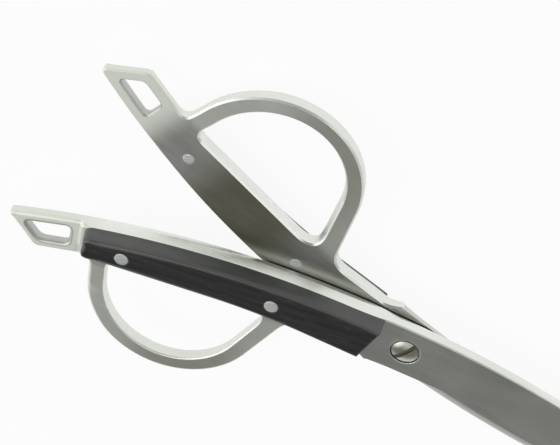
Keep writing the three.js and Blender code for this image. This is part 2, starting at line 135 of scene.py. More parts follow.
# Rounded edges of the small pieces, as (inset, distance from the face) pairs from the side to the face.
# The dome of the rivet's foot has shares of the radius in place of insets.
PIN_FOOT_ROUND, PIN_FOOT_DOME = [(0, 0.12), (0.04, 0.05), (0.15, 0.02)], [(0.6, 0.012), (0, 0.01)]
PIN_HEAD_ROUND, PIN_HEAD_MIDDLE = [(0, 0.1), (0.05, 0.03), (0.16, 0)], 0.6
SCREW_END_ROUND = [(0, 0.3), (0.3, 0.05), (0.5, 0)]
SLOT_ROUND = [(0, 0.13), (0.02, 0.06), (0.06, 0.02), (0.13, 0), (0.22, 0)]
NUT_ROUND = [(0, 0.15), (0.05, 0.05), (0.15, 0), (0.35, 0)]

# Spacing of the meshes' points
DENSE_STEP, STEP_SPACING, CORNER_SPACING, EDGE_SPACING = 0.04, 0.16, 0.2, 0.5
STEP_NEAR, CORNER_NEAR = 0.8, 4
SCALE_END_NEAR, SCALE_END_SPACING, SCALE_SPACING, HEAD_SPACING = 8, 0.2, 0.6, 0.15
ARC_POINTS, CORNER_POINTS, BLADE_POINTS, SPINE_POINTS = 120, 15, 90, 100
FRONT_POINTS, ROUND_POINTS, HEAD_POINTS = 18, 6, 90
PIN_SIDES, PIVOT_SIDES, SCREW_SIDES, BORE_SIDES = 48, 72, 96, 36
STEP_ROWS, STEP_ROW_COUNT, STEP_ROW_REACH = (-14, 6, 0.8), 7, 1.1
TAPER_ROWS_ALONG, TAPER_ROWS_ACROSS = (-10, 2, 1.0), (-9, 10, 2.0)
STEEL_GRID, SCALE_GRID, SCREW_GRID, NUT_GRID = (5, 0.5), (4, 0.6), (0.5, 0.2), (0.8, 0.2)
LEAST_AREA = 2e-4  # flatter triangles, between points in line, only spoil the shading
SHARP_ANGLE = radians(34)


# Outlines
def on_handle(station, rise):
    """A place on the handle: station from the pivot to the tail, rise from the bar to the loop."""
    return np.array([-station * cos(HANDLE_BEND) + rise * sin(HANDLE_BEND),
                     -station * sin(HANDLE_BEND) - rise * cos(HANDLE_BEND)])


def spine_rise(station):
    return SPINE_RADIUS - BAR_WIDTH - sqrt(SPINE_RADIUS ** 2 - (station - SPINE_CREST) ** 2)


def on_spine(station, ledge=0):
    """A place on the spine of the handle, or a ledge inside it."""
    return on_handle(station, spine_rise(station) + ledge)


def blade_spine(share):
    """A place on the blade's spine, at a share of the way from the pivot to the tip."""
    start = on_spine(0)
    fall = start[1] + EDGE_OFFSET - TIP_HEIGHT
    return np.array([start[0] + (BLADE_LENGTH - start[0]) * share,
                     start[1] - fall * share ** BLADE_CURVE])


def loop_path(leg_band, top_band):
    """The outline of the loop's hole, or of the band round it, from the tail side to the blade side."""
    along, up = LOOP_HALF_LENGTH + leg_band, LOOP_HEIGHT + top_band
    places = [(LOOP_STATION + along * cos(a) + LOOP_CANT * sin(a), LOOP_RISE + up * sin(a))
              for a in np.linspace(0, LOOP_SWEEP, ARC_POINTS)]
    arc = [on_handle(station, rise) for station, rise in places]
    lean = (LOOP_CANT - along * tan(LOOP_SWEEP)) / up
    front = on_handle(places[-1][0] - lean * places[-1][1], 0)
    return on_handle(LOOP_STATION + along + REAR_LEG_FLARE, 0), arc, front


def crossing(a, b, c, d):
    """The place where the line through a and b meets the line through c and d."""
    along, across = b - a, d - c
    gap = c - a
    share = (gap[0] * across[1] - gap[1] * across[0]) / (along[0] * across[1] - along[1] * across[0])
    return a + along * share


def rounded(corners):
    """A closed outline whose corners, given as (point, cut), are rounded over the length cut."""
    points = []
    for i, (at, cut) in enumerate(corners):
        if not cut:
            points.append(at)
            continue
        back, ahead = corners[i - 1][0] - at, corners[(i + 1) % len(corners)][0] - at
        start, end = at + back * (cut / np.hypot(*back)), at + ahead * (cut / np.hypot(*ahead))
        for t in np.linspace(0, 1, CORNER_POINTS):
            points.append((1 - t) ** 2 * start + 2 * t * (1 - t) * at + t * t * end)
    return np.array(points)


def plain(points):
    return [(p, 0) for p in points]


tail_tip = on_spine(TAIL_STATION)
tail_corner = on_handle(TAIL_CORNER_STATION, TAIL_CORNER_RISE)
tail_root = on_handle(LOOP_STATION + LOOP_HALF_LENGTH + LOOP_BAND + REAR_LEG_FLARE, TAIL_ROOT_RISE)
tang_rear = np.array([-CHOIL_STATION - CHOIL_LENGTH, -TANG_EDGE])
choil = np.array([-CHOIL_STATION, -EDGE_OFFSET])
blade_tip = np.array([BLADE_LENGTH, -EDGE_OFFSET])


def steel_outline():
    _, arc, front = loop_path(LOOP_BAND, LOOP_TOP_BAND)
    front_root = crossing(arc[-1], front, tang_rear, tang_rear + [1, 0])
    stations = np.linspace(0, TAIL_STATION - TAIL_TIP_CORNER - 1, SPINE_POINTS)
    return rounded(
        plain([blade_spine(s) for s in np.linspace(1, 0, BLADE_POINTS)])
        + plain([on_spine(s) for s in stations[1:]])
        + [(tail_tip, TAIL_TIP_CORNER), (tail_corner, TAIL_CORNER), (tail_root, ROOT_FILLET / 2)]
        + plain(arc)
        + [(front_root, ROOT_FILLET), (tang_rear, TANG_CORNER), (choil, CHOIL_CORNER),
           (blade_tip, BLADE_TIP_CORNER)])


def loop_hole():
    rear, arc, front = loop_path(0, 0)
    return rounded([(rear, HOLE_CORNER)] + plain(arc) + [(front, HOLE_FRONT_CORNER)])


def eyelet():
    """The outline of the tail's hole, at an even rim inside the tail's four sides."""
    step_spine = on_spine(STEP_STATION)
    step_loop = crossing(tail_root, tail_corner, step_spine, on_handle(STEP_STATION, 0))
    corners = [step_spine, tail_tip, tail_corner, step_loop]
    middle = np.mean(corners, 0)
    sides = []
    for a, b in zip(corners, corners[1:] + corners[:1]):
        inward = np.array([a[1] - b[1], b[0] - a[0]]) / np.hypot(*(b - a))
        inward *= EYELET_RIM * np.sign(inward @ (middle - a))
        sides.append((a + inward, b + inward))
    return rounded([(crossing(*sides[i - 1], *sides[i]), EYELET_CORNER) for i in range(4)])


def turning(points):
    """Twice the signed area of a closed outline, positive where it runs anticlockwise."""
    ahead = np.roll(points, -1, 0)
    return float(np.sum(points[:, 0] * ahead[:, 1] - points[:, 1] * ahead[:, 0]))


def resampled(points, spacing, hole=False):
    """The closed outline with points at a spacing that depends on the place, material on its left."""
    if (turning(points) > 0) == hole:
        points = points[::-1]
    closed = np.vstack([points, points[:1]])
    length = np.r_[0, np.cumsum(np.hypot(*np.diff(closed, axis=0).T))]
    fine = np.linspace(0, length[-1], int(length[-1] / DENSE_STEP))
    dense = np.c_[np.interp(fine, length, closed[:, 0]), np.interp(fine, length, closed[:, 1])]
    count = np.r_[0, np.cumsum(np.diff(fine) / spacing(dense)[1:])]
    picks = np.linspace(0, count[-1], int(count[-1]) + 1)[:-1]
    places = np.interp(picks, count, fine)
    return np.c_[np.interp(places, length, closed[:, 0]), np.interp(places, length, closed[:, 1])]


def smoothed(values, rounds):
    """Values round a closed outline, each averaged with its neighbours."""
    for _ in range(rounds):
        values = (np.roll(values, 1, 0) + 2 * values + np.roll(values, -1, 0)) / 4
    return values


def outward(points):
    """Unit normals that point away from the material, which lies on the outline's left."""
    along = smoothed(np.roll(points, -1, 0) - np.roll(points, 1, 0), 2)
    along /= np.hypot(*along.T)[:, None]
    return np.c_[along[:, 1], -along[:, 0]]


def station_of(points):
    return -(points[:, 0] * cos(HANDLE_BEND) + points[:, 1] * sin(HANDLE_BEND))


def rise_of(points):
    return points[:, 0] * sin(HANDLE_BEND) - points[:, 1] * cos(HANDLE_BEND)


def zone(values, start, end):
    """0 before start and 1 past end, with a soft run between."""
    t = np.clip((values - start) / (end - start), 0, 1)
    return t * t * (3 - 2 * t)


def blend(a, b, share):
    return a + (b - a) * share


def steel_face(points):
    """Height of the outer face above the inner face."""
    x = points[:, 0]
    fade = zone(rise_of(points), *STEP_RISE_RUN)
    middle, half_run = STEP_STATION - STEP_SHIFT * fade, (STEP_RAMP + STEP_FADE * fade) / 2
    handle = blend(PLATE, TAIL_PLATE, zone(station_of(points), middle - half_run, middle + half_run))
    blade = blend(PIVOT_THICKNESS, TIP_THICKNESS, np.clip(x / BLADE_LENGTH, 0, 1))
    return blend(handle, blade, zone(x, -TAPER_LENGTH, 0))


# Meshes. A ring is a pair of plan points and heights; a contour is a list of rings, from the inner
# face up to the outer face.
def fitted_round(points, wanted):
    """Rounding radii that stay below the outline's own radius at its outer corners."""
    along = np.roll(points, -1, 0) - points
    step = np.hypot(*along.T)
    heading = np.unwrap(np.arctan2(along[:, 1], along[:, 0]))
    turn = np.diff(np.r_[heading[-1] - 2 * pi * np.sign(turning(points)), heading])
    bend = smoothed(turn / step, 2)
    limit = np.where(bend > STRAIGHT_BEND, ROUND_SHARE / np.maximum(bend, STRAIGHT_BEND), NO_LIMIT)
    for _ in range(ROUND_PASSES):
        limit = np.minimum(limit, np.minimum(np.roll(limit, 1), np.roll(limit, -1)) + ROUND_SLOPE * step)
    return np.minimum(smoothed(np.minimum(wanted, limit), 4), limit)


def edge_contour(points, face, low, high, lean, grind=0.0, spread=1.0):
    """Rings round an outline: inner bevel, leaning wall, outer rounding or ground bevel."""
    normal = outward(points)
    top = face(points)
    rings = []

    def ring(depth, height, leaned=1.0):
        depth = depth + lean * leaned
        rings.append((points - normal * np.broadcast_to(depth, len(points))[:, None], height))

    grind = np.broadcast_to(grind, len(points))
    ring(low * spread + INNER_MARGIN, np.zeros(len(points)), 0)
    ring(low * spread, np.zeros(len(points)), 0)
    ring(np.zeros(len(points)), low, 0)
    start = (1 - grind) * (top - high) + grind * EDGE_LAND
    for share in WALL_SHARES:
        leaned = max(0, (share - LEAN_FOOT) / (1 - LEAN_FOOT))
        ring(np.zeros(len(points)), blend(low, start, share), leaned)
    width = (1 - grind) * high + grind * np.minimum(GRIND_WIDTH, high)
    for a in np.linspace(0, pi / 2, ROUND_POINTS):
        share = a / (pi / 2)
        ring((1 - grind) * high * (1 - cos(a)) + grind * width * share,
             (1 - grind) * (top - high + high * sin(a)) + grind * (EDGE_LAND + (top - EDGE_LAND) * share))
    ring(width * FACE_GROWTH + FACE_MARGIN, None)
    last = rings[-1][0]
    rings[-1] = (last, face(last))
    return rings


def round_contour(centre, profile, count=PIN_SIDES, hole=True):
    """Rings of a round hole or disc, from (radius, height) pairs."""
    turn = np.linspace(0, 2 * pi, count, endpoint=False) * (-1 if hole else 1)
    circle = np.c_[np.cos(turn), np.sin(turn)]
    return [(np.asarray(centre) + circle * r, np.full(count, float(z))) for r, z in profile]


def inside(points, loops):
    """Which points lie between closed loops."""
    odd = np.zeros(len(points), bool)
    for loop in loops:
        for (ax, ay), (bx, by) in zip(loop, np.roll(loop, -1, 0)):
            if ay != by:
                cross = (ay > points[:, 1]) != (by > points[:, 1])
                odd ^= cross & (points[:, 0] < (bx - ax) * (points[:, 1] - ay) / (by - ay) + ax)
    return odd


def filled(loops, inner):
    """Triangles over the area between closed loops, numbered along the loops and the inner points."""
    points = np.vstack(loops + [inner])
    edges, start = [], 0
    for loop in loops:
        edges += [(start + i, start + (i + 1) % len(loop)) for i in range(len(loop))]
        start += len(loop)
    found = delaunay_2d_cdt([Vector(p) for p in points], edges, [], 0, 1e-6)
    places = np.array([v[:] for v in found[0]])
    source = [ids[0] if ids else -1 for ids in found[3]]
    triangles = np.array(found[2])
    corners = places[triangles]
    (ax, ay), (bx, by) = (corners[:, 1] - corners[:, 0]).T, (corners[:, 2] - corners[:, 0]).T
    triangles = triangles[inside(corners.mean(1), loops) & (ax * by - ay * bx > LEAST_AREA)]
    result = [[source[i] for i in t] for t in triangles]
    return [t for t in result if min(t) >= 0 and len(set(t)) == 3]


class Shape:
    """Vertices and faces of one piece, with a material number for each face."""

    def __init__(self):
        self.points, self.faces, self.finish = [], [], []

    def add(self, plan, heights):
        first = len(self.points)
        self.points += [(x * MM, y * MM, z * MM) for (x, y), z in zip(plan, heights)]
        return list(range(first, len(self.points)))

    def face(self, corners, finish):
        self.faces.append(corners)
        self.finish.append(finish)

    def walls(self, rings, finish):
        for low, high in zip(rings, rings[1:]):
            for i in range(len(low)):
                j = (i + 1) % len(low)
                self.face((low[i], low[j], high[j], high[i]), finish[i])

    def slab(self, contours, top, inner_top, wall=1, cap=0, wall_finish=None):
        """Closes contours with an inner face and an outer face. wall_finish holds some contours' own."""
        rows = [[self.add(*ring) for ring in contour] for contour in contours]
        for k, rings in enumerate(rows):
            self.walls(rings, (wall_finish or {}).get(k, [wall] * len(rings[0])))
        under = [contour[0][0] for contour in contours]
        ids = sum((rings[0] for rings in rows), [])
        for a, b, c in filled(under, np.zeros((0, 2))):
            self.face((ids[c], ids[b], ids[a]), cap)
        over = [contour[-1][0] for contour in contours]
        ids = sum((rings[-1] for rings in rows), []) + self.add(inner_top, top(inner_top))
        for a, b, c in filled(over, inner_top):
            self.face((ids[a], ids[b], ids[c]), cap)

    def lathe(self, centre, profile, count=PIN_SIDES, finish=0):
        """A turned piece, from (radius, height) pairs that run upwards from the axis to the axis."""
        rings = [self.add(*ring) for ring in round_contour(centre, profile[1:-1], count, hole=False)]
        self.walls(rings, [finish] * count)
        low, high = (self.add([centre], [z])[0] for _, z in (profile[0], profile[-1]))
        for i in range(count):
            j = (i + 1) % count
            self.face((low, rings[0][j], rings[0][i]), finish)
            self.face((high, rings[-1][i], rings[-1][j]), finish)

    def build(self, name, place, materials):
        mesh = bpy.data.meshes.new(name)
        mesh.from_pydata([place @ Vector(p) for p in self.points], [], self.faces)
        mesh.polygons.foreach_set("material_index", self.finish)
        mesh.polygons.foreach_set("use_smooth", [True] * len(self.faces))
        for material in materials:
            mesh.materials.append(material)
        mesh.set_sharp_from_angle(angle=SHARP_ANGLE)
        mesh.validate()
        piece = bpy.data.objects.new(name, mesh)
        bpy.context.scene.collection.objects.link(piece)
        return piece


def grid(loops, spacing, margin, dense=()):
    """Points spread over the area between loops, clear of its edges, with denser rows added."""
    low, high = np.min(loops[0], 0), np.max(loops[0], 0)
    xs, ys = np.arange(low[0], high[0], spacing), np.arange(low[1], high[1], spacing)
    points = np.array([(x + 0.5 * spacing * (k % 2), y) for k, y in enumerate(ys) for x in xs])
    points = np.vstack([points, *dense]) if len(dense) else points
    points = points[inside(points, loops)]
    border = np.vstack(loops)
    clear = [np.min(np.hypot(*(border - p).T)) > margin for p in points]
    return points[np.array(clear, bool)]


# Where each half lies
pivot = Vector(frame["joints"][0]["pos_m"])
lift = Matrix.Translation((0, 0, BLADE_GAP / 2 * MM))
open_turn = Matrix.Rotation(REST_EDGE_ANGLE, 4, "Z")
front_place = Matrix.Translation(pivot) @ open_turn @ lift
rear_place = Matrix.Translation(pivot) @ Matrix.Rotation(pi, 4, "X") @ open_turn @ lift


# Materials
def new_material(name):
    material = bpy.data.materials.new(name)
    material.use_nodes = True
    nodes, links = material.node_tree.nodes, material.node_tree.links
    return material, nodes, links, nodes["Principled BSDF"]


def noise(nodes, links, scale, stretch=(1, 1, 1), turn=0.0, detail=4, roughness=0.55):
    """A noise in the piece's own coordinates; scale counts features per metre."""
    place = nodes.new("ShaderNodeTexCoord")
    mapping = nodes.new("ShaderNodeMapping")
    mapping.vector_type = "TEXTURE"
    mapping.inputs["Rotation"].default_value = (0, 0, turn)
    mapping.inputs["Scale"].default_value = stretch
    pattern = nodes.new("ShaderNodeTexNoise")
    pattern.inputs["Scale"].default_value = scale
    pattern.inputs["Detail"].default_value = detail
    pattern.inputs["Roughness"].default_value = roughness
    links.new(place.outputs["Object"], mapping.inputs["Vector"])
    links.new(mapping.outputs["Vector"], pattern.inputs["Vector"])
    return pattern.outputs["Fac"]


def ramp(nodes, links, value, stops):
    node = nodes.new("ShaderNodeValToRGB")
    elements = node.color_ramp.elements
    while len(elements) < len(stops):
        elements.new(0.5)
    for element, (place, colour) in zip(elements, stops):
        element.position = place
        element.color = (*colour, 1) if isinstance(colour, tuple) else (colour,) * 3 + (1,)
    links.new(value, node.inputs["Fac"])
    return node.outputs["Color"]


def blended(nodes, links, share, a, b, mode="MIX"):
    node = nodes.new("ShaderNodeMix")
    node.data_type = "RGBA"
    node.blend_type = mode
    for socket, value in ((node.inputs["Factor"], share), (node.inputs["A"], a), (node.inputs["B"], b)):
        if isinstance(value, (int, float, tuple)):
            socket.default_value = value
        else:
            links.new(value, socket)
    return node.outputs["Result"]


def bumped(nodes, links, shader, height, strength, distance):
    node = nodes.new("ShaderNodeBump")
    node.inputs["Strength"].default_value = strength
    node.inputs["Distance"].default_value = distance
    links.new(height, node.inputs["Height"])
    links.new(node.outputs["Normal"], shader.inputs["Normal"])


def span(nodes, links, value, start, end):
    """A soft step from 0 at start to 1 at end."""
    node = nodes.new("ShaderNodeMapRange")
    node.interpolation_type = "SMOOTHSTEP"
    node.inputs["From Min"].default_value = start
    node.inputs["From Max"].default_value = end
    links.new(value, node.inputs["Value"])
    return node.outputs["Result"]


def combined(nodes, links, operation, a, b):
    node = nodes.new("ShaderNodeMath")
    node.operation = operation
    for socket, value in zip(node.inputs, (a, b)):
        if isinstance(value, float):
            socket.default_value = value
        else:
            links.new(value, socket)
    return node.outputs["Value"]


def handle_zones(nodes, links, side_turn):
    """Shares of the tumbled finish, on loop and tail, and of the painted dark reflection along the bar."""
    place = nodes.new("ShaderNodeTexCoord")
    mapping = nodes.new("ShaderNodeMapping")
    mapping.vector_type = "TEXTURE"
    mapping.inputs["Location"].default_value = pivot
    mapping.inputs["Rotation"].default_value = (0, 0, side_turn * (REST_EDGE_ANGLE + HANDLE_BEND))
    split = nodes.new("ShaderNodeSeparateXYZ")
    links.new(place.outputs["Object"], mapping.inputs["Vector"])
    links.new(mapping.outputs["Vector"], split.inputs["Vector"])
    back, across = split.outputs["X"], split.outputs["Y"]
    tail = span(nodes, links, back, *(-MM * s for s in TAIL_ZONE))
    loop = combined(nodes, links, "MULTIPLY",
                    span(nodes, links, across, *(-side_turn * MM * n for n in LOOP_ZONE)),
                    span(nodes, links, back, *(-MM * s for s in TANG_ZONE)))
    loop = combined(nodes, links, "MULTIPLY", loop, LOOP_SHARE)
    dark_reflection = combined(nodes, links, "MULTIPLY", span(nodes, links, back, *(-MM * s for s in DARK_REFLECTION_FRONT)),
                     span(nodes, links, back, *(-MM * s for s in DARK_REFLECTION_REAR)))
    return combined(nodes, links, "MAXIMUM", tail, loop), dark_reflection


def steel(name, dark, light, rough, lines, turn=0.0, side_turn=None, with_dark_reflection=False):
    """Steel with fine lines along X, a faint mottle and uneven polish; with side_turn, a lighter tumbled
    tone on loop and tail, partly painted light, and if asked a painted dark reflection along the bar.
    """
    material, nodes, links, shader = new_material(name)
    shader.inputs["Metallic"].default_value = 1
    brushed = noise(nodes, links, turn=turn, **BRUSH)
    cloud = noise(nodes, links, turn=turn, **CLOUD)
    tone = ramp(nodes, links, cloud, [(0.3, dark), (0.7, light)])
    grain = ramp(nodes, links, brushed, [(0.35, 1 - lines), (0.65, 1.0)])
    tone = blended(nodes, links, 1.0, tone, grain, "MULTIPLY")
    polish = ramp(nodes, links, blended(nodes, links, 0.5, brushed, cloud),
                  [(0.3, rough[0]), (0.7, rough[1])])
    if side_turn:
        tumbled_and_painted_light, dark_reflection = handle_zones(nodes, links, side_turn)
        # Painted dark reflection: the tone is darkened and browned over a patch along the bar.
        if with_dark_reflection:
            reflection_darkened = blended(nodes, links, 1.0, tone, DARK_REFLECTION_TONE, "MULTIPLY")
            tone = blended(nodes, links, dark_reflection, tone, reflection_darkened)
        # Tumbled loop and tail: a rougher polish and a lighter tone; the tone is partly painted light.
        tone = blended(nodes, links, tumbled_and_painted_light, tone, TUMBLED_PAINTED_LIGHT_TONE)
        polish = blended(nodes, links, tumbled_and_painted_light, polish, TUMBLED_ROUGHNESS)
    links.new(tone, shader.inputs["Base Color"])
    links.new(polish, shader.inputs["Roughness"])
    bumped(nodes, links, shader, brushed, *STEEL_BUMP)
    return material


def ebony(name, turn, dark, light, rough):
    """Black wood with pale flecks and fine pores along the bar."""
    material, nodes, links, shader = new_material(name)
    streak = noise(nodes, links, turn=turn, **STREAK)
    fleck = noise(nodes, links, turn=turn, **FLECK)
    tone = ramp(nodes, links, streak, [(0.3, dark), (0.75, light)])
    spots = ramp(nodes, links, fleck, [(0.6, 0.0), (0.72, 1.0)])
    links.new(blended(nodes, links, spots, tone, FLECK_TONE), shader.inputs["Base Color"])
    links.new(ramp(nodes, links, streak, [(0.3, rough[0]), (0.7, rough[1])]), shader.inputs["Roughness"])
    shader.inputs["Specular IOR Level"].default_value = WOOD_GLOSS
    bumped(nodes, links, shader, fleck, *WOOD_BUMP)
    return material


steel_pin = steel("steel_pin", (0.78, 0.82, 0.8), (0.9, 0.92, 0.9), (0.35, 0.55), 0.15, 0.6)
steel_screw = steel("steel_screw", (0.52, 0.52, 0.45), (0.63, 0.63, 0.55), (0.2, 0.32), 0.08, 1.1)
steel_nut = steel("steel_nut", (0.62, 0.61, 0.57), (0.72, 0.71, 0.67), (0.22, 0.36), 0.1, 0.4)
pierced = steel("pierced_steel", (0.55, 0.57, 0.53), (0.66, 0.68, 0.63), (0.4, 0.55), 0.1, 0.3)
# Much darker than the screw's steel: painted shade for the slot and the head's side.
painted_slot_shade = steel("painted_slot_shade", (0.2, 0.19, 0.16), (0.3, 0.29, 0.24), (0.35, 0.5), 0.1, 0.9)
bronze = steel("bearing_bronze", (0.55, 0.4, 0.26), (0.68, 0.52, 0.35), (0.3, 0.45), 0.1)


def fine_spacing(points):
    """Closer points near the step before the tail and near the corners."""
    near_step = np.abs(station_of(points) - STEP_STATION) < STEP_NEAR
    corners = np.array([tail_tip, tail_corner, tang_rear, choil, blade_tip])
    near_corner = np.min(np.hypot(*(points[:, None] - corners).transpose(2, 0, 1)), 1) < CORNER_NEAR
    return np.where(near_step, STEP_SPACING, np.where(near_corner, CORNER_SPACING, EDGE_SPACING))


def steel_shape(pivot_profile, hole_lean):
    """A half: blade, tang, loop and tail, with the wood's seat left sharp and the cutting edge ground."""
    outline = resampled(steel_outline(), fine_spacing)
    x, y = outline.T
    width = np.array([blade_spine(min(max(s, 0), 1))[1] + EDGE_OFFSET for s in x / BLADE_LENGTH])
    station = station_of(outline)
    on_blade = zone(x, *BLADE_RUN)
    on_bar = zone(rise_of(outline), *BAR_RISE_RUN) * zone(station, *BAR_FRONT_RUN)
    covered = on_bar * zone(station, SCALE_REAR + COVER_SPAN, SCALE_REAR - COVER_SPAN)
    flat_inside = on_bar * zone(station, SCALE_REAR, SCALE_REAR - FLAT_SPAN)
    narrow = np.where(x > 0, NARROW_SHARE * width, NO_LIMIT)
    lean = np.minimum(blend(blend(LOOP_LEAN, BLADE_LEAN, on_blade), BAR_LEAN, covered), narrow)
    on_edge = (y < choil[1] + EDGE_NEAR) & (x > choil[0]) & (x < blade_tip[0] - EDGE_END)
    grind = smoothed(on_edge.astype(float), 3)
    high = blend(LOOP_ROUND, REAR_LEG_ROUND, zone(station, *REAR_LEG_RUN))
    high = blend(high, HANDLE_ROUND, zone(station, *HANDLE_RUN))
    high = blend(high, SPINE_ROUND, on_blade)
    high = np.minimum(blend(high, BAR_EDGE_ROUND, covered), narrow)
    ground = np.minimum(GRIND_WIDTH, GRIND_SHARE * width)
    high = fitted_round(outline, high) * (1 - grind) + ground * grind
    low = blend(INNER_BEVEL, INNER_SPINE_BEVEL, on_blade)
    spread = blend(1, INNER_SPINE_SPREAD, zone(x, *INNER_SPREAD_RUN) * (y > choil[1] + SPINE_CLEAR))
    spread = np.minimum(spread, np.where(x > 0, SPREAD_SHARE * width / INNER_SPINE_BEVEL, NO_LIMIT))
    low = np.minimum(blend(low, BAR_EDGE_ROUND, flat_inside), narrow)
    low = fitted_round(outline, low) * (1 - grind) + EDGE_BEVEL * grind
    lean = smoothed(lean, 4) * (1 - grind)
    spread = np.maximum(smoothed(spread, 4), 1)
    contours = [edge_contour(outline, steel_face, low, high, lean, grind, spread)]
    for plan, size in ((loop_hole(), LOOP_ROUND), (eyelet(), EYELET_ROUND)):
        hole = resampled(plan, fine_spacing, hole=True)
        draft = hole_lean * zone(rise_of(hole), *HOLE_RISE_RUN)
        draft = draft * zone(station_of(hole), LOOP_STATION, LOOP_STATION - HOLE_LEAN_SPAN)
        contours.append(edge_contour(hole, steel_face, np.full(len(hole), INNER_BEVEL),
                                     np.full(len(hole), size), draft))
    for station in RIVET_STATIONS.values():
        bore = RIVET_RADIUS + HAIRLINE
        contours.append(round_contour(on_handle(station, -RIVET_INSET),
                                      [(bore + STEEL_BORE_RIM, 0), (bore, 0), (bore, PLATE)]))
    contours.append(round_contour((0, 0), pivot_profile, PIVOT_SIDES))
    wall_finish = {0: [0 if g > 0.5 else 1 for g in grind], 2: [2] * len(contours[2][0][0])}
    loops = [contour[-1][0] for contour in contours]
    step_rows = [np.array([on_handle(STEP_STATION + d, n) for n in np.arange(*STEP_ROWS)])
                 for d in np.linspace(-0.5, 0.5, STEP_ROW_COUNT) * STEP_RAMP * STEP_ROW_REACH]
    taper_rows = [np.array([(x, y) for y in np.arange(*TAPER_ROWS_ACROSS)])
                  for x in np.arange(*TAPER_ROWS_ALONG)]
    shape = Shape()
    inner_top = grid(loops, *STEEL_GRID, step_rows + taper_rows)
    shape.slab(contours, steel_face, inner_top, wall_finish=wall_finish)
    return shape


# Profiles of the steel's holes at the pivot, as (radius, height) pairs
face_z = PIVOT_THICKNESS
seat_z = PIVOT_THICKNESS - SEAT_DEPTH
screw_bore = SCREW_RADIUS + SCREW_PLAY
front_profile = [
    (screw_bore + RIM, 0), (screw_bore + CHAMFER, 0), (screw_bore, CHAMFER), (screw_bore, seat_z),
    (SEAT_RADIUS - CHAMFER, seat_z), (SEAT_RADIUS, seat_z + CHAMFER), (SEAT_RADIUS, face_z - SEAT_EDGE),
    (SEAT_RADIUS + SEAT_EDGE / 3, face_z - SEAT_EDGE / 3), (SEAT_RADIUS + SEAT_EDGE, face_z),
    (SEAT_RADIUS + RIM, face_z)]
nut_seat = PIVOT_THICKNESS - NUT_THICKNESS - NUT_FLOOR
nut_bore = NUT_RADIUS + NUT_PLAY
rear_bore = screw_bore + REAR_PLAY
rear_profile = [
    (BEARING_RADIUS + RIM, 0), (BEARING_RADIUS, 0), (BEARING_RADIUS, BEARING_SEAT),
    (rear_bore, BEARING_SEAT), (rear_bore, nut_seat), (nut_bore, nut_seat),
    (nut_bore, face_z - CHAMFER), (nut_bore + CHAMFER, face_z), (nut_bore + RIM, face_z)]


